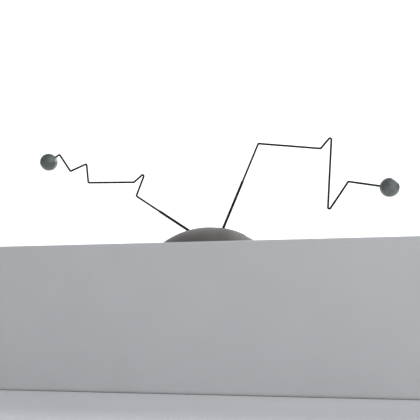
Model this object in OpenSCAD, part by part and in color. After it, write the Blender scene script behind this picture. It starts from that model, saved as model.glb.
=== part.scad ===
// Rabbit ears: a tabletop dipole aerial. Two bent rods with round tips stand in
// the slots of a low, weighted dome. Each rod slides in a tube, the tube turns
// in its socket, and the socket folds sideways on a hinge pin.
//
// Frame: the origin is on the surface it stands on, under the middle of the
// dome. +Z is up, +X is the viewer's right and -Y faces the viewer.
// All sizes are millimetres.

/* [Dome] */

// Diameter of the dome at its lower rim
dome_diameter = 152; // [150:0.5:158]

// Height of the dome above its lower rim
dome_height = 40; // [39:0.25:42]

// Thickness of the moulded dome wall
dome_wall = 2.4; // [2:0.1:3]

// Width of the two slots that the ears fold in
slot_width = 8; // [7:0.1:9]

/* [Ears] */

// Distance between the two hinge pins
pivot_spacing = 22; // [21:0.5:24]

// Height of the hinge pins above the standing surface
pivot_height = 32; // [31:0.25:32.5]

// Diameter of the bent rods
rod_diameter = 2.4; // [1.8:0.1:2.6]

// Radius of each bend, along the middle of the rod
bend_radius = 1.6; // [1.5:0.1:2.8]

// Diameter of the balls on the tips
ball_diameter = 22; // [18:0.5:26]

/* [Base] */

// Height of the rubber feet below the dome's rim
foot_height = 4; // [3.5:0.25:4.5]

// Outer diameter of the iron ballast ring
ballast_diameter = 96; // [90:1:98]

// Height of the iron ballast ring
ballast_height = 9; // [6:0.5:10]

/* [Hidden] */

$fn = 64;

// Sides of the dome: left and right as the sign of x, front and rear of y.
left = -1;
right = 1;
front = -1;
rear = 1;

// How far a cut reaches past the faces that it opens.
past = 1;

// Straight runs of each ear, starting at its hinge pin: [length, lean], where
// the lean is in degrees from upright, away from the other ear.
right_runs = [[123, 23], [74, 98], [20, 41], [92, 185], [43, 35], [46, 101]];
left_runs = [[98, 56], [32, -20], [19, 131], [60, 88], [25, 8], [23, 112], [28, 35], [17, 124]];

// Clearances: around things that turn or slide, and beside things that fold.
running_gap = 0.05;
side_gap = 0.15;

// The dome is a cap of a sphere; its rim is level with the tops of the feet.
rim_radius = dome_diameter / 2;
dome_radius = (rim_radius * rim_radius + dome_height * dome_height) / (2 * dome_height);
dome_centre_z = foot_height + dome_height - dome_radius;
rim_width = 5;

// Slots, measured along x from the middle of the dome, and the raised lip
// around each.
slot_start = 10;
slot_end = 41;
lip_width = 1.5;
lip_height = 0.6;

// Base plate, closing the dome from below.
plate_thickness = 3;
plate_radius = rim_radius - rim_width;
plate_gap = 0.3;
plate_top = foot_height + plate_thickness;

// Screws that hold the plate to the dome, the ballast to the plate and the
// terminal board to its posts. The rear is left free for the cable.
base_screw_angles = [30, 150, 270];
base_screw_ring = 60;
ballast_screw_ring = 40;
boss_radius = 4;
boss_top = plate_top + 9;
thread_radius = 1.5;
flat_head_radius = 3;
flat_head_depth = 1.7;
pan_head_radius = 2.8;
pan_head_height = 1.9;
pan_head_bevel = 0.6;
driver_slot = 0.8;
base_screw_length = plate_thickness + 7;
ballast_screw_length = plate_thickness + 4;
board_screw_length = 9;
clevis_screw_length = 7.5;

// Feet.
foot_spacing = 82;
foot_radius = 7;
foot_chamfer = 1;
foot_stem_radius = 2.5;
foot_button_radius = 3.4;
foot_button_height = 1.5;

// Ballast ring.
ballast_wall = 16;

// Cable inlet, through a flat-floored recess low in the rear of the dome.
inlet_height = 16;
inlet_bore_radius = 3;
inlet_hole_radius = 4.5;
inlet_boss_radius = 7.5;
inlet_recess_radius = 6.2;
inlet_floor_y = 58.5;
inlet_wall = 5;
grommet_flange_radius = 5.6;
grommet_flange = 1.5;

// Terminal board and its four posts.
board_length = 52;
board_width = 34;
board_thickness = 2.4;
board_bottom = plate_top + 12;
board_top = board_bottom + board_thickness;
post_spacing_x = 42;
post_spacing_y = 24;
post_radius = 3.5;

// Clevises, one for each ear.
clevis_width = 9;
clevis_length = 24;
sheet = 1.2;
tang_thickness = 4;
cheek_inside = tang_thickness / 2 + side_gap;
cheek_outside = cheek_inside + sheet;
clevis_top = board_top + sheet;
clevis_screw_y = 8;
nut_flats = 5.5;
nut_height = 2.4;
lug_thickness = 0.6;
lug_length = 9;
lug_radius = pan_head_radius + 0.2;
lug_tail_width = 3;
lug_eye_radius = 0.8;
washer_thickness = 0.8;

// Hinge pin: a screw from the front with a spring washer and a nut behind.
pin_radius = 1.5;
pin_tip = 0.8;
pin_length = 2 * cheek_outside + washer_thickness + nut_height + pin_tip;

// Rod sockets. Sizes along the ear are measured from the hinge pin.
tang_radius = clevis_width / 2;
neck_width = 5;
ferrule_start = 5.2;
ferrule_end = 11;
ferrule_radius = 2.6;
chamber_start = 6;
chamber_end = 7.6;

// Lower tubes, drawn thin enough to look like one piece with the rods.
tube_wall = 0.2;
tube_bore_radius = rod_diameter / 2 + 0.2;
tube_radius = tube_bore_radius + tube_wall;
tube_flare = 0.35;
tube_foot_radius = tube_radius + tube_flare;
tube_start = chamber_start + side_gap;
tube_foot_end = chamber_end - side_gap;
right_tube_end = 74;
left_tube_end = 62;
mouth_length = 3;
mouth_taper = 1;

// Bent rods reach this far down inside their tubes, with a split sleeve at
// the lower end that rubs on the tube's wall.
rod_overlap = 22;
sleeve_length = 7;
sleeve_slit = 0.5;

// Bends: how much thicker than the rod they are, and the degrees by which
// they lap over the straight runs.
bend_swell = 0.04;
bend_lap = 5;

// Colours.
dome_colour = [0.42, 0.40, 0.38];
dark_metal = [0.13, 0.13, 0.13];
ball_colour = [0.45, 0.48, 0.47];
steel = [0.62, 0.63, 0.64];
brass = [0.72, 0.58, 0.30];
iron = [0.25, 0.25, 0.26];
rubber = [0.08, 0.08, 0.08];
phenolic = [0.38, 0.22, 0.12];

// ---------------------------------------------------------------- screws

// A slotted pan-head screw along -Z, with the underside of its head at z = 0.
module pan_screw(length) {
    difference() {
        union() {
            cylinder(h = pan_head_height / 2, r = pan_head_radius);
            translate([0, 0, pan_head_height / 2])
                cylinder(
                    h = pan_head_height / 2,
                    r1 = pan_head_radius,
                    r2 = pan_head_radius - pan_head_bevel
                );
            translate([0, 0, -length])
                cylinder(h = length, r = thread_radius);
        }
        translate([-pan_head_radius - past, -driver_slot / 2, pan_head_height - driver_slot])
            cube([2 * (pan_head_radius + past), driver_slot, driver_slot + past]);
    }
}

// A slotted flat-head screw along +Z, with its head flush with z = 0.
module flat_screw(length) {
    difference() {
        union() {
            cylinder(h = flat_head_depth, r1 = flat_head_radius, r2 = thread_radius);
            translate([0, 0, flat_head_depth])
                cylinder(h = length - flat_head_depth, r = thread_radius);
        }
        translate([-flat_head_radius - past, -driver_slot / 2, -past])
            cube([2 * (flat_head_radius + past), driver_slot, past + driver_slot]);
    }
}

// The hole a flat-head screw needs through a plate whose underside is z = 0.
module flat_screw_hole() {
    cylinder(h = flat_head_depth, r1 = flat_head_radius, r2 = thread_radius);
    translate([0, 0, -past])
        cylinder(h = plate_thickness + 2 * past, r = thread_radius);
}

// A plain hexagon nut from z = 0 up.
module hex_nut() {
    difference() {
        cylinder(h = nut_height, r = nut_flats / sqrt(3), $fn = 6);
        translate([0, 0, -past])
            cylinder(h = nut_height + 2 * past, r = thread_radius);
    }
}

// ---------------------------------------------------------------- places

// At each screw between the plate and the dome.
module at_base_screws() {
    for (angle = base_screw_angles)
        rotate([0, 0, angle])
            translate([base_screw_ring, 0, 0])
                children();
}

// At each screw between the plate and the ballast ring, midway between those
// of the dome.
module at_ballast_screws() {
    for (angle = base_screw_angles)
        rotate([0, 0, angle + 60])
            translate([ballast_screw_ring, 0, 0])
                children();
}

// At each post of the terminal board.
module at_posts() {
    for (x = [left, right], y = [front, rear])
        translate([x * post_spacing_x / 2, y * post_spacing_y / 2, 0])
            children();
}

// On the hinge pin of one ear, with +Z up.
module at_pivot(side) {
    translate([side * pivot_spacing / 2, 0, pivot_height])
        children();
}

// On the hinge pin of one ear, with +Z along the ear's first run.
module along_ear(side, runs) {
    at_pivot(side)
        rotate([0, side * runs[0][1], 0])
            children();
}

// ---------------------------------------------------------------- base

// The ball that the dome is a cap of, less a wall.
module dome_ball(inset) {
    translate([0, 0, dome_centre_z])
        sphere(r = dome_radius - inset, $fn = 128);
}

// The upright prism of one ear's slot, grown outwards by a margin.
module slot_prism(side, margin) {
    width = slot_width + 2 * margin;
    height = dome_height + foot_height;
    near_end = slot_start + slot_width / 2;
    far_end = slot_end - slot_width / 2;
    for (x = [near_end, far_end])
        translate([side * x, 0, pivot_height])
            cylinder(h = height, d = width);
    translate([side * (near_end + far_end) / 2, 0, pivot_height + height / 2])
        cube([far_end - near_end, width, height], center = true);
}

// The outside of the dome, with a raised lip around both slots.
module dome_outside() {
    intersection() {
        dome_ball(0);
        translate([0, 0, foot_height])
            cylinder(h = 2 * dome_height, r = dome_diameter);
    }
    intersection() {
        dome_ball(-lip_height);
        union() {
            slot_prism(left, lip_width);
            slot_prism(right, lip_width);
        }
    }
}

// The hollow under the dome: the inner sphere above the plate, and the round
// recess that the plate sits in.
module dome_hollow() {
    intersection() {
        dome_ball(dome_wall);
        translate([0, 0, plate_top])
            cylinder(h = 2 * dome_height, r = dome_diameter);
    }
    translate([0, 0, foot_height - past])
        cylinder(h = plate_thickness + past, r = plate_radius + plate_gap);
}

// A cylinder along +Y on the cable inlet's axis.
module inlet_round(y_start, y_end, radius) {
    translate([0, y_start, inlet_height])
        rotate([-90, 0, 0])
            cylinder(h = y_end - y_start, r = radius);
}

// Bosses inside the dome: three for the base screws, one for the cable inlet.
module dome_bosses() {
    intersection() {
        dome_ball(dome_wall / 2);
        union() {
            at_base_screws()
                translate([0, 0, plate_top])
                    cylinder(h = dome_height, r = boss_radius);
            inlet_round(inlet_floor_y - inlet_wall, rim_radius, inlet_boss_radius);
        }
    }
}

module dome_cover() {
    color(dome_colour)
    difference() {
        union() {
            difference() {
                dome_outside();
                dome_hollow();
            }
            dome_bosses();
        }
        at_base_screws()
            translate([0, 0, foot_height])
                cylinder(h = boss_top - foot_height, r = thread_radius);
        slot_prism(left, 0);
        slot_prism(right, 0);
        inlet_round(inlet_floor_y, dome_diameter, inlet_recess_radius);
        inlet_round(0, dome_diameter, inlet_hole_radius);
    }
}

module base_plate() {
    color(iron)
    difference() {
        union() {
            translate([0, 0, foot_height])
                cylinder(h = plate_thickness, r = plate_radius, $fn = 128);
            at_posts()
                translate([0, 0, foot_height])
                    cylinder(h = board_bottom - foot_height, r = post_radius);
        }
        translate([0, 0, foot_height]) {
            at_base_screws()
                flat_screw_hole();
            at_ballast_screws()
                flat_screw_hole();
        }
        at_posts()
            translate([0, 0, plate_top])
                cylinder(h = board_bottom, r = thread_radius);
        for (x = [left, right], y = [front, rear])
            translate([x * foot_spacing / 2, y * foot_spacing / 2, foot_height - past])
                cylinder(h = plate_thickness + 2 * past, r = foot_stem_radius);
    }
}

module ballast_ring() {
    color(iron)
    difference() {
        translate([0, 0, plate_top])
            cylinder(h = ballast_height, d = ballast_diameter, $fn = 96);
        translate([0, 0, plate_top - past])
            cylinder(
                h = ballast_height + 2 * past,
                d = ballast_diameter - 2 * ballast_wall,
                $fn = 96
            );
        at_ballast_screws()
            translate([0, 0, foot_height])
                cylinder(h = ballast_screw_length, r = thread_radius);
    }
}

module base_screws() {
    color(steel)
    at_base_screws()
        translate([0, 0, foot_height])
            flat_screw(base_screw_length);
}

module ballast_screws() {
    color(steel)
    at_ballast_screws()
        translate([0, 0, foot_height])
            flat_screw(ballast_screw_length);
}

// A rubber foot with a stem through the plate and a button above it.
module foot(x, y) {
    color(rubber)
    translate([x * foot_spacing / 2, y * foot_spacing / 2, 0]) {
        cylinder(h = foot_chamfer, r1 = foot_radius - foot_chamfer, r2 = foot_radius);
        translate([0, 0, foot_chamfer])
            cylinder(h = foot_height - foot_chamfer, r = foot_radius);
        translate([0, 0, foot_height])
            cylinder(h = plate_thickness, r = foot_stem_radius);
        translate([0, 0, plate_top])
            cylinder(h = foot_button_height, r1 = foot_button_radius, r2 = foot_stem_radius);
    }
}

module front_left_foot() {
    foot(left, front);
}

module front_right_foot() {
    foot(right, front);
}

module rear_left_foot() {
    foot(left, rear);
}

module rear_right_foot() {
    foot(right, rear);
}

// A rubber bush with a flange on each face of the dome's inlet boss.
module cable_grommet() {
    inner_face_y = inlet_floor_y - inlet_wall;
    color(rubber)
    difference() {
        union() {
            inlet_round(inner_face_y - grommet_flange, inner_face_y, grommet_flange_radius);
            inlet_round(inner_face_y, inlet_floor_y, inlet_hole_radius);
            inlet_round(inlet_floor_y, inlet_floor_y + grommet_flange, grommet_flange_radius);
        }
        inlet_round(0, dome_diameter, inlet_bore_radius);
    }
}

// ---------------------------------------------------------------- terminals

// At each of one clevis's two screws.
module at_clevis_screws(side) {
    for (y = [front, rear])
        translate([side * pivot_spacing / 2, y * clevis_screw_y, 0])
            children();
}

module terminal_board() {
    color(phenolic)
    difference() {
        translate([-board_length / 2, -board_width / 2, board_bottom])
            cube([board_length, board_width, board_thickness]);
        translate([0, 0, board_bottom - past]) {
            at_posts()
                cylinder(h = board_thickness + 2 * past, r = thread_radius);
            for (side = [left, right])
                at_clevis_screws(side)
                    cylinder(h = board_thickness + 2 * past, r = thread_radius);
        }
    }
}

module board_screws() {
    color(steel)
    at_posts()
        translate([0, 0, board_top])
            pan_screw(board_screw_length);
}

// A bracket with two cheeks around the ear's tang.
module clevis(side) {
    color(brass)
    difference() {
        union() {
            translate([side * pivot_spacing / 2, 0, board_top + sheet / 2])
                cube([clevis_width, clevis_length, sheet], center = true);
            for (y = [-cheek_outside, cheek_inside])
                at_pivot(side)
                    translate([0, y, 0]) {
                        rotate([-90, 0, 0])
                            cylinder(h = sheet, r = tang_radius);
                        translate([-clevis_width / 2, 0, board_top - pivot_height])
                            cube([clevis_width, sheet, pivot_height - board_top]);
                    }
        }
        at_pivot(side)
            rotate([90, 0, 0])
                cylinder(h = clevis_length, r = pin_radius, center = true);
        at_clevis_screws(side)
            translate([0, 0, board_top - past])
                cylinder(h = sheet + 2 * past, r = thread_radius);
    }
}

module left_clevis() {
    clevis(left);
}

module right_clevis() {
    clevis(right);
}

// Two screws per clevis; the rear ones also hold the solder lugs.
module clevis_screws() {
    color(steel)
    for (side = [left, right], y = [front, rear])
        translate([
            side * pivot_spacing / 2,
            y * clevis_screw_y,
            clevis_top + (y == rear ? lug_thickness : 0),
        ])
            pan_screw(clevis_screw_length);
}

module clevis_nuts() {
    color(steel)
    for (side = [left, right])
        at_clevis_screws(side)
            translate([0, 0, board_bottom - nut_height])
                hex_nut();
}

// A ring terminal with a tail for one conductor of the cable.
module solder_lug(side) {
    color(brass)
    translate([side * pivot_spacing / 2, clevis_screw_y, clevis_top])
    difference() {
        union() {
            cylinder(h = lug_thickness, r = lug_radius);
            translate([-lug_tail_width / 2, 0, 0])
                cube([lug_tail_width, lug_length, lug_thickness]);
        }
        translate([0, 0, -past])
            cylinder(h = lug_thickness + 2 * past, r = thread_radius);
        translate([0, lug_length - 2 * lug_eye_radius, -past])
            cylinder(h = lug_thickness + 2 * past, r = lug_eye_radius);
    }
}

module left_solder_lug() {
    solder_lug(left);
}

module right_solder_lug() {
    solder_lug(right);
}

// ---------------------------------------------------------------- hinges

module hinge_pin(side) {
    color(steel)
    at_pivot(side)
        translate([0, -cheek_outside, 0])
            rotate([90, 0, 0])
                pan_screw(pin_length);
}

module left_hinge_pin() {
    hinge_pin(left);
}

module right_hinge_pin() {
    hinge_pin(right);
}

// A split ring between the rear cheek and the nut.
module spring_washer(side) {
    color(steel)
    at_pivot(side)
        translate([0, cheek_outside, 0])
            rotate([-90, 0, 0])
            difference() {
                cylinder(h = washer_thickness, r = pan_head_radius);
                translate([0, 0, -past])
                    cylinder(h = washer_thickness + 2 * past, r = pin_radius);
                translate([0, -washer_thickness / 2, -past])
                    cube([pan_head_radius + past, washer_thickness, washer_thickness + 2 * past]);
            }
}

module left_spring_washer() {
    spring_washer(left);
}

module right_spring_washer() {
    spring_washer(right);
}

module hinge_nut(side) {
    color(steel)
    at_pivot(side)
        translate([0, cheek_outside + washer_thickness, 0])
            rotate([-90, 0, 0])
                hex_nut();
}

module left_hinge_nut() {
    hinge_nut(left);
}

module right_hinge_nut() {
    hinge_nut(right);
}

// ---------------------------------------------------------------- ears

// A flat tang on the hinge pin that carries a round ferrule. The ferrule's
// chamber holds the flared foot of the lower tube, which can turn in it.
module rod_socket(side, runs) {
    color(steel)
    along_ear(side, runs)
    difference() {
        union() {
            rotate([90, 0, 0])
                cylinder(h = tang_thickness, r = tang_radius, center = true);
            translate([0, 0, ferrule_start / 2])
                cube([neck_width, tang_thickness, ferrule_start], center = true);
            translate([0, 0, ferrule_start])
                cylinder(h = ferrule_end - ferrule_start, r = ferrule_radius);
        }
        rotate([90, 0, 0])
            cylinder(h = clevis_width, r = pin_radius + running_gap, center = true);
        translate([0, 0, chamber_start])
            cylinder(h = chamber_end - chamber_start, r = tube_foot_radius + running_gap);
        translate([0, 0, chamber_start])
            cylinder(h = ferrule_end, r = tube_radius + running_gap);
    }
}

module left_rod_socket() {
    rod_socket(left, left_runs);
}

module right_rod_socket() {
    rod_socket(right, right_runs);
}

// A thin tube with a flared foot and a mouth drawn in around the rod.
module lower_tube(side, runs, tube_end) {
    color(dark_metal)
    along_ear(side, runs)
    difference() {
        union() {
            translate([0, 0, tube_start])
                cylinder(h = tube_foot_end - tube_start, r = tube_foot_radius);
            translate([0, 0, tube_start])
                cylinder(h = tube_end - mouth_taper - tube_start, r = tube_radius);
            translate([0, 0, tube_end - mouth_taper])
                cylinder(h = mouth_taper, r1 = tube_radius, r2 = tube_bore_radius);
        }
        translate([0, 0, tube_start - past])
            cylinder(h = tube_end - mouth_length - tube_start + past, r = tube_bore_radius);
        translate([0, 0, tube_start])
            cylinder(h = tube_end, r = rod_diameter / 2 + running_gap);
    }
}

module left_lower_tube() {
    lower_tube(left, left_runs, left_tube_end);
}

module right_lower_tube() {
    lower_tube(right, right_runs, right_tube_end);
}

// A split sleeve pressed on the lower end of the rod.
module contact_sleeve(side, runs, tube_end) {
    color(brass)
    along_ear(side, runs)
        translate([0, 0, tube_end - rod_overlap])
        difference() {
            cylinder(h = sleeve_length, r = tube_bore_radius - running_gap);
            translate([0, 0, -past])
                cylinder(h = sleeve_length + 2 * past, d = rod_diameter);
            translate([0, -sleeve_slit / 2, -past])
                cube([tube_radius, sleeve_slit, sleeve_length + 2 * past]);
        }
}

module left_contact_sleeve() {
    contact_sleeve(left, left_runs, left_tube_end);
}

module right_contact_sleeve() {
    contact_sleeve(right, right_runs, right_tube_end);
}

// Where run i starts, as [distance outwards, height] from the hinge pin.
function corner(runs, i) =
    i == 0 ? [0, 0] : corner(runs, i - 1) + runs[i - 1][0] * heading(runs, i - 1);

// The direction of run i, as [outwards, up].
function heading(runs, i) = [sin(runs[i][1]), cos(runs[i][1])];

// How far the lean changes at the start of run i.
function turn(runs, i) = runs[i][1] - runs[i - 1][1];

// How much a bend takes off the end of each run beside it.
function bend_trim(runs, i) =
    i == 0 || i == len(runs) ? 0 : bend_radius * tan(abs(turn(runs, i)) / 2);

// At the start of run i, with +Z along that run.
module at_run(side, runs, i) {
    start = corner(runs, i);
    at_pivot(side)
        translate([side * start[0], 0, start[1]])
            rotate([0, side * runs[i][1], 0])
                children();
}

// The straight part of run i; the first run starts down inside the tube.
module straight_run(side, runs, i, inner_end) {
    from = i == 0 ? inner_end : bend_trim(runs, i);
    to = runs[i][0] - bend_trim(runs, i + 1);
    at_run(side, runs, i)
        translate([0, 0, from])
            cylinder(h = to - from, d = rod_diameter);
}

// The round bend between run i - 1 and run i. It swells a hair, as bent wire
// does, and laps over the ends of both runs.
module bend(side, runs, i) {
    bend_side = side * sign(turn(runs, i));
    at_run(side, runs, i - 1)
        translate([bend_side * bend_radius, 0, runs[i - 1][0] - bend_trim(runs, i)])
            rotate([90, 0, bend_side > 0 ? 180 : 0])
                rotate([0, 0, -bend_lap])
                    rotate_extrude(angle = abs(turn(runs, i)) + 2 * bend_lap)
                        translate([bend_radius, 0])
                            circle(d = rod_diameter + bend_swell);
}

// One rod, bent by hand in several places, up to the middle of its tip ball.
module bent_rod(side, runs, tube_end) {
    color(dark_metal) {
        for (i = [0 : len(runs) - 1])
            straight_run(side, runs, i, tube_end - rod_overlap);
        for (i = [1 : len(runs) - 1])
            bend(side, runs, i);
    }
}

module left_bent_rod() {
    bent_rod(left, left_runs, left_tube_end);
}

module right_bent_rod() {
    bent_rod(right, right_runs, right_tube_end);
}

// A ball drilled to its middle for the end of the rod.
module tip_ball(side, runs) {
    last = len(runs) - 1;
    color(ball_colour)
    at_run(side, runs, last)
        translate([0, 0, runs[last][0]])
        difference() {
            sphere(d = ball_diameter);
            translate([0, 0, -ball_diameter])
                cylinder(h = ball_diameter, d = rod_diameter);
        }
}

module left_tip_ball() {
    tip_ball(left, left_runs);
}

module right_tip_ball() {
    tip_ball(right, right_runs);
}

// ---------------------------------------------------------------- nodes

dome_cover();
base_plate();
ballast_ring();
ballast_screws();
base_screws();
front_left_foot();
front_right_foot();
rear_left_foot();
rear_right_foot();
cable_grommet();
terminal_board();
board_screws();
left_clevis();
right_clevis();
clevis_screws();
clevis_nuts();
left_solder_lug();
right_solder_lug();
left_hinge_pin();
right_hinge_pin();
left_spring_washer();
right_spring_washer();
left_hinge_nut();
right_hinge_nut();
left_rod_socket();
right_rod_socket();
left_lower_tube();
right_lower_tube();
left_contact_sleeve();
right_contact_sleeve();
left_bent_rod();
right_bent_rod();
left_tip_ball();
right_tip_ball();
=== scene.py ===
import math

import bpy
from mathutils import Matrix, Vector

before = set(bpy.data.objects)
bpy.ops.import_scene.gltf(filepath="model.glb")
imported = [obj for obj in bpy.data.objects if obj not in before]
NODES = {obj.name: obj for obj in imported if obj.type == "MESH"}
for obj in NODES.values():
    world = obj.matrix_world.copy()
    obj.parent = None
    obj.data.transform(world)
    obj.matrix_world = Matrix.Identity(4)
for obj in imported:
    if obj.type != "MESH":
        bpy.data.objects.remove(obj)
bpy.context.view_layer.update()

MM = 0.001

# ------------------------------------------------------------------ materials


class Look:
    """One procedural material, patterned in its object's own coordinates."""

    def __init__(self, name):
        self.material = bpy.data.materials.new(name)
        self.material.use_nodes = True
        self.tree = self.material.node_tree
        self.shader = self.tree.nodes["Principled BSDF"]
        self.place = self.add("ShaderNodeTexCoord").outputs["Object"]
        self.height = None

    def add(self, kind, **settings):
        """A new node of the material, with the given settings."""
        node = self.tree.nodes.new(kind)
        for key, value in settings.items():
            setattr(node, key, value)
        return node

    def join(self, output, socket):
        """Links a node's output to a socket."""
        self.tree.links.new(output, socket)

    def stretched(self, stretch):
        """The object's coordinates, multiplied along each axis."""
        mapping = self.add("ShaderNodeMapping")
        mapping.inputs["Scale"].default_value = stretch
        self.join(self.place, mapping.inputs["Vector"])
        return mapping.outputs["Vector"]

    def noise(self, feature, detail=3.0, roughness=0.55, stretch=(1, 1, 1)):
        """Cloudy noise with features of about the given size."""
        node = self.add("ShaderNodeTexNoise")
        node.inputs["Scale"].default_value = 1 / feature
        node.inputs["Detail"].default_value = detail
        node.inputs["Roughness"].default_value = roughness
        self.join(self.stretched(stretch), node.inputs["Vector"])
        return node.outputs["Fac"]

    def spread(self, value, low, high, out_low=0.0, out_high=1.0):
        """A value between two limits, spread over another pair of limits."""
        node = self.add("ShaderNodeMapRange")
        node.inputs["From Min"].default_value = low
        node.inputs["From Max"].default_value = high
        node.inputs["To Min"].default_value = out_low
        node.inputs["To Max"].default_value = out_high
        self.join(value, node.inputs["Value"])
        return node.outputs["Result"]

    def weakened(self, value, most):
        """A value from 0 to 1, scaled down to reach only the given share."""
        return self.spread(value, 0, 1, 0, most)

    def mixed(self, share, first, second):
        """A colour between two; each is a colour or another node's output."""
        node = self.add("ShaderNodeMix", data_type="RGBA")
        self.join(share, node.inputs["Factor"])
        colour_inputs = [socket for socket in node.inputs if socket.type == "RGBA"]
        for colour, socket in zip((first, second), colour_inputs):
            if isinstance(colour, tuple):
                socket.default_value = (*colour, 1)
            else:
                self.join(colour, socket)
        return next(socket for socket in node.outputs if socket.type == "RGBA")

    def facing_up(self):
        """How much a surface faces up, from 0 to 1, where dust settles."""
        normal = self.add("ShaderNodeNewGeometry").outputs["Normal"]
        parts = self.add("ShaderNodeSeparateXYZ")
        self.join(normal, parts.inputs["Vector"])
        return self.spread(parts.outputs["Z"], low=0.2, high=1.0)

    def product(self, first, second):
        """Two values multiplied."""
        node = self.add("ShaderNodeMath", operation="MULTIPLY")
        self.join(first, node.inputs[0])
        self.join(second, node.inputs[1])
        return node.outputs["Value"]

    def bump(self, height, depth):
        """Raises the surface by up to the given depth; calls add up."""
        node = self.add("ShaderNodeBump")
        node.inputs["Strength"].default_value = 1.0
        node.inputs["Distance"].default_value = depth
        self.join(height, node.inputs["Height"])
        if self.height is not None:
            self.join(self.height, node.inputs["Normal"])
        self.height = node.outputs["Normal"]

    def finish(self, colour, roughness, **constants):
        """Wires the colour and roughness, sets the rest as plain constants."""
        self.join(colour, self.shader.inputs["Base Color"])
        self.join(roughness, self.shader.inputs["Roughness"])
        if self.height is not None:
            self.join(self.height, self.shader.inputs["Normal"])
        for key, value in constants.items():
            self.shader.inputs[key].default_value = value
        return self.material


def satin_plastic():
    """The dome's grey-brown moulded plastic, with age mottling and settled dust."""
    look = Look("satin_plastic")
    mottle = look.spread(look.noise(22 * MM, detail=4), 0.35, 0.65)
    fleck = look.spread(look.noise(0.7 * MM, detail=2), 0.45, 0.7)
    dust_patches = look.spread(look.noise(6 * MM, detail=5), 0.42, 0.72)
    dust = look.product(look.facing_up(), dust_patches)
    smudges = look.noise(12 * MM, detail=5, roughness=0.65)
    plain = look.mixed(mottle, (0.100, 0.088, 0.080), (0.128, 0.114, 0.104))
    flecked = look.mixed(look.weakened(fleck, 0.25), plain, (0.19, 0.18, 0.165))
    dusty = look.mixed(look.weakened(dust, 0.12), flecked, (0.26, 0.25, 0.235))
    look.bump(look.noise(0.5 * MM, detail=2), 0.03 * MM)
    look.bump(look.noise(18 * MM, detail=2), 0.12 * MM)
    rough = look.spread(smudges, 0.3, 0.7, 0.48, 0.62)
    return look.finish(dusty, rough, **{"Specular IOR Level": 0.35})


def blackened_steel(name, worn):
    """Black lacquered rod steel; more worn means more rubbed through to grey."""
    look = Look(name)
    patches = look.noise(9 * MM, detail=6, roughness=0.7)
    rubbed = look.spread(patches, 0.72 - worn, 0.80 - worn)
    haze = look.spread(look.noise(2 * MM, detail=4), 0.35, 0.7)
    dark = look.mixed(haze, (0.007, 0.007, 0.007), (0.016, 0.015, 0.014))
    colour = look.mixed(look.weakened(rubbed, 0.4), dark, (0.10, 0.095, 0.09))
    look.bump(look.noise(0.4 * MM, detail=3), 0.012 * MM)
    rough = look.spread(look.noise(3 * MM, detail=4), 0.3, 0.7, 0.36, 0.54)
    return look.finish(colour, rough, **{"Specular IOR Level": 0.18})


def satin_ball_metal():
    """The tip balls' grey-green satin metal, with handling smears."""
    look = Look("satin_ball_metal")
    smear = look.spread(look.noise(6 * MM, detail=5, roughness=0.65), 0.35, 0.65)
    tarnish = look.spread(look.noise(2.5 * MM, detail=6, roughness=0.7), 0.58, 0.72)
    clean = look.mixed(smear, (0.170, 0.192, 0.184), (0.222, 0.240, 0.232))
    colour = look.mixed(look.weakened(tarnish, 0.5), clean, (0.11, 0.13, 0.12))
    look.bump(look.noise(1.6 * MM, detail=2), 0.012 * MM)
    look.bump(look.noise(0.3 * MM, detail=3), 0.008 * MM)
    rough = look.spread(look.noise(4 * MM, detail=5), 0.3, 0.7, 0.34, 0.48)
    return look.finish(colour, rough, Metallic=0.85)


def bright_metal(name, light, dark, smoothest, roughest):
    """A plated fastener or terminal metal between two tones and roughnesses."""
    look = Look(name)
    tone = look.spread(look.noise(3 * MM, detail=5, roughness=0.65), 0.35, 0.65)
    spots = look.spread(look.noise(0.8 * MM, detail=4), 0.6, 0.75)
    colour = look.mixed(look.weakened(spots, 0.5), look.mixed(tone, light, dark), dark)
    look.bump(look.noise(0.2 * MM, detail=3, stretch=(1, 1, 0.15)), 0.008 * MM)
    rough = look.spread(look.noise(1.5 * MM, detail=4), 0.3, 0.7, smoothest, roughest)
    return look.finish(colour, rough, Metallic=1.0)


def cast_iron():
    """Rough dark castings and the painted base plate, with a little rust."""
    look = Look("cast_iron")
    tone = look.spread(look.noise(4 * MM, detail=6, roughness=0.7), 0.3, 0.7)
    rust = look.spread(look.noise(8 * MM, detail=6, roughness=0.75), 0.62, 0.74)
    clean = look.mixed(tone, (0.022, 0.022, 0.023), (0.050, 0.049, 0.048))
    colour = look.mixed(rust, clean, (0.085, 0.050, 0.032))
    look.bump(look.noise(0.9 * MM, detail=4), 0.06 * MM)
    return look.finish(colour, look.spread(tone, 0, 1, 0.55, 0.78), Metallic=0.35)


def black_rubber():
    """Feet and cable bush: matt, dusty, with a fine moulded grain."""
    look = Look("black_rubber")
    bloom = look.spread(look.noise(3 * MM, detail=5, roughness=0.7), 0.4, 0.75)
    colour = look.mixed(bloom, (0.012, 0.012, 0.012), (0.050, 0.048, 0.045))
    look.bump(look.noise(0.4 * MM, detail=3), 0.03 * MM)
    return look.finish(colour, look.spread(bloom, 0, 1, 0.62, 0.85))


def phenolic_board():
    """Brown laminated board with paper fibres along its length."""
    look = Look("phenolic_board")
    fibres = look.spread(look.noise(0.6 * MM, detail=4, stretch=(0.12, 1, 1)), 0.3, 0.7)
    stains = look.spread(look.noise(7 * MM, detail=4), 0.4, 0.7)
    base = look.mixed(fibres, (0.105, 0.042, 0.018), (0.175, 0.078, 0.034))
    colour = look.mixed(look.weakened(stains, 0.4), base, (0.06, 0.026, 0.014))
    look.bump(fibres, 0.01 * MM)
    return look.finish(colour, look.spread(stains, 0, 1, 0.30, 0.50))


CLOUD_SHADE = 0.96


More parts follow.
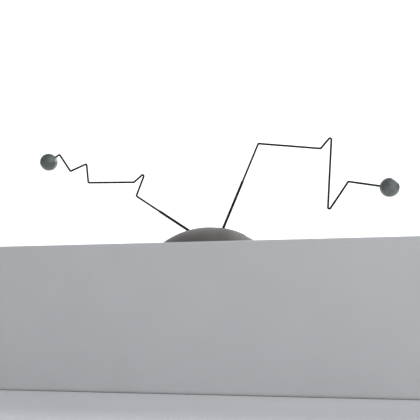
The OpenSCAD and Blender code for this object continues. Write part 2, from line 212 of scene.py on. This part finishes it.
def studio_paint(name, colour, roughness):
    """A faintly uneven matt paint for the plinth and the backdrop."""
    look = Look(name)
    cloud = look.spread(look.noise(50 * MM, detail=4), 0.3, 0.7)
    darker = tuple(CLOUD_SHADE * channel for channel in colour)
    look.bump(look.noise(0.8 * MM, detail=2), 0.02 * MM)
    rough = look.spread(cloud, 0, 1, roughness, roughness + 0.1)
    return look.finish(look.mixed(cloud, colour, darker), rough)


# ------------------------------------------------------------------ dressing

# Faces that meet at less than this angle belong to one curved surface.
SMALLEST_EDGE_ANGLE = math.radians(35)


def round_edges(piece, width, segments):
    """Rounds the edges of a piece."""
    rounding = piece.modifiers.new("rounding", "BEVEL")
    rounding.width = width
    rounding.segments = segments
    return rounding


def dress(names, material, edge=None):
    """Gives CAD nodes a material and, if wanted, edges rounded to a width."""
    for name in names:
        piece = NODES[name]
        piece.data.materials.clear()
        piece.data.materials.append(material)
        if edge:
            rounding = round_edges(piece, edge, segments=3)
            rounding.limit_method = "ANGLE"
            rounding.angle_limit = SMALLEST_EDGE_ANGLE
            rounding.harden_normals = True


def both(name):
    """The nodes of that name on the left and the right ear."""
    return [f"left_{name}", f"right_{name}"]


def dress_all():
    """Gives every node of the antenna its material."""
    rods = blackened_steel("blackened_rod", worn=0.10)
    tubes = blackened_steel("blackened_tube", worn=0.16)
    steel = bright_metal("plated_steel", (0.50, 0.50, 0.49), (0.27, 0.26, 0.25), 0.22, 0.42)
    brass = bright_metal("brass", (0.62, 0.44, 0.18), (0.36, 0.24, 0.10), 0.24, 0.46)
    feet = [f"{end}_{side}_foot" for end in ("front", "rear") for side in ("left", "right")]
    screws = [f"{place}_screws" for place in ("base", "ballast", "board", "clevis")]
    dress(["dome_cover"], satin_plastic(), edge=0.5 * MM)
    dress(both("bent_rod"), rods)
    dress(both("lower_tube"), tubes)
    dress(both("rod_socket"), steel, edge=0.2 * MM)
    dress(both("tip_ball"), satin_ball_metal())
    dress(["base_plate", "ballast_ring"], cast_iron(), edge=0.3 * MM)
    dress(feet + ["cable_grommet"], black_rubber(), edge=0.3 * MM)
    dress(["terminal_board"], phenolic_board(), edge=0.2 * MM)
    dress(both("clevis") + both("solder_lug") + both("contact_sleeve"), brass)
    dress(both("hinge_pin") + both("hinge_nut") + both("spring_washer"), steel)
    dress(screws + ["clevis_nuts"], steel)


# ------------------------------------------------------------------ studio

# The plinth has the width and depth of the set that the antenna stood on.
PLINTH_SIZE = (0.520, 0.410, 0.120)
PLINTH_FRONT = -0.205
PLINTH_EDGE = 3 * MM
PLINTH_COLOUR = (0.74, 0.735, 0.73)

# The floor runs back from FLOOR_FRONT and curves up into a wall at WALL_Y.
FLOOR_Z = -PLINTH_SIZE[2]
FLOOR_HALF_WIDTH = 4.0
FLOOR_FRONT = -3.0
WALL_Y = 1.6
WALL_TOP = 4.0
CURVE_RADIUS = 0.8
CURVE_STEPS = 12
BACKDROP_COLOUR = (0.86, 0.86, 0.86)

# The viewer's eye is below the plinth's top and to the right of its middle. The
# view is FRAME_MARGIN times as wide as the antenna.
EYE = Vector((0.1217, -0.6523, -0.0632))
AIM = Vector((0.0, 0.0, 0.066))
ANTENNA_SPREAD = 0.44
FRAME_MARGIN = 1.14
SENSOR_WIDTH = 36


def new_piece(name, points, faces, material):
    """A mesh object of the studio."""
    mesh = bpy.data.meshes.new(name)
    mesh.from_pydata(points, [], faces)
    mesh.materials.append(material)
    piece = bpy.data.objects.new(name, mesh)
    bpy.context.scene.collection.objects.link(piece)
    return piece


def plinth():
    """A pale block that the antenna stands on."""
    width, depth, height = PLINTH_SIZE
    xs = (-width / 2, width / 2)
    ys = (PLINTH_FRONT, PLINTH_FRONT + depth)
    zs = (-height, 0)
    points = [(x, y, z) for x in xs for y in ys for z in zs]
    faces = [(0, 1, 3, 2), (4, 6, 7, 5), (0, 4, 5, 1), (2, 3, 7, 6), (1, 5, 7, 3), (0, 2, 6, 4)]
    paint = studio_paint("plinth_paint", PLINTH_COLOUR, 0.6)
    block = new_piece("plinth", points, faces, paint)
    round_edges(block, PLINTH_EDGE, segments=4)
    return block


def backdrop():
    """A floor that curves up into a wall behind, in one sheet."""
    curve_start = WALL_Y - CURVE_RADIUS
    profile = [(FLOOR_FRONT, FLOOR_Z), (curve_start, FLOOR_Z)]
    for step in range(1, CURVE_STEPS + 1):
        angle = math.pi / 2 * step / CURVE_STEPS
        y = curve_start + CURVE_RADIUS * math.sin(angle)
        z = FLOOR_Z + CURVE_RADIUS * (1 - math.cos(angle))
        profile.append((y, z))
    profile.append((WALL_Y, WALL_TOP))
    points = [(x, y, z) for y, z in profile for x in (-FLOOR_HALF_WIDTH, FLOOR_HALF_WIDTH)]
    faces = [(2 * i, 2 * i + 1, 2 * i + 3, 2 * i + 2) for i in range(len(profile) - 1)]
    paint = studio_paint("backdrop_paint", BACKDROP_COLOUR, 0.8)
    sheet = new_piece("backdrop", points, faces, paint)
    for face in sheet.data.polygons:
        face.use_smooth = True
    return sheet


def add_to_scene(name, data, place, aim):
    """An object that looks from one place to another."""
    holder = bpy.data.objects.new(name, data)
    holder.location = place
    holder.rotation_euler = (Vector(aim) - Vector(place)).to_track_quat("-Z", "Y").to_euler()
    bpy.context.scene.collection.objects.link(holder)
    return holder


def soft_light(name, place, aim, size, power, colour):
    """A round area light."""
    lamp = bpy.data.lights.new(name, "AREA")
    lamp.shape = "DISK"
    lamp.size = size
    lamp.energy = power
    lamp.color = colour
    add_to_scene(name, lamp, place, aim)


def ambient_light(colour, strength):
    """An even light from all sides."""
    world = bpy.data.worlds.new("studio")
    world.use_nodes = True
    background = world.node_tree.nodes["Background"]
    background.inputs["Color"].default_value = (*colour, 1)
    background.inputs["Strength"].default_value = strength
    bpy.context.scene.world = world


def studio():
    """Plinth, backdrop and lights. The wall light is edge on to the antenna, so
    that it whitens the background and hardly reaches the antenna itself."""
    plinth()
    backdrop()
    dome = (0, 0, 0.05)
    soft_light("key", (1.0, -0.8, 0.8), dome, size=2.4, power=9, colour=(0.94, 0.96, 1.0))
    soft_light("rim", (0.9, 0.9, 0.95), dome, size=0.8, power=13, colour=(0.94, 0.98, 0.97))
    soft_light("wall", (-0.5, 0.6, 1.5), (-0.5, 1.6, 1.1), size=2.4, power=36, colour=(1, 1, 1))
    ambient_light(colour=(0.92, 0.95, 1.0), strength=0.38)
    bpy.context.scene.view_settings.view_transform = "Standard"


def camera():
    """Looks from the viewer's eye, with a lens that frames both ears."""
    lens = bpy.data.cameras.new("camera")
    distance = (AIM - EYE).length
    half_view = FRAME_MARGIN * ANTENNA_SPREAD / 2 / distance
    lens.sensor_width = SENSOR_WIDTH
    lens.lens = SENSOR_WIDTH / 2 / half_view
    lens.clip_start = 10 * MM
    bpy.context.scene.camera = add_to_scene("camera", lens, EYE, AIM)


dress_all()
studio()
camera()
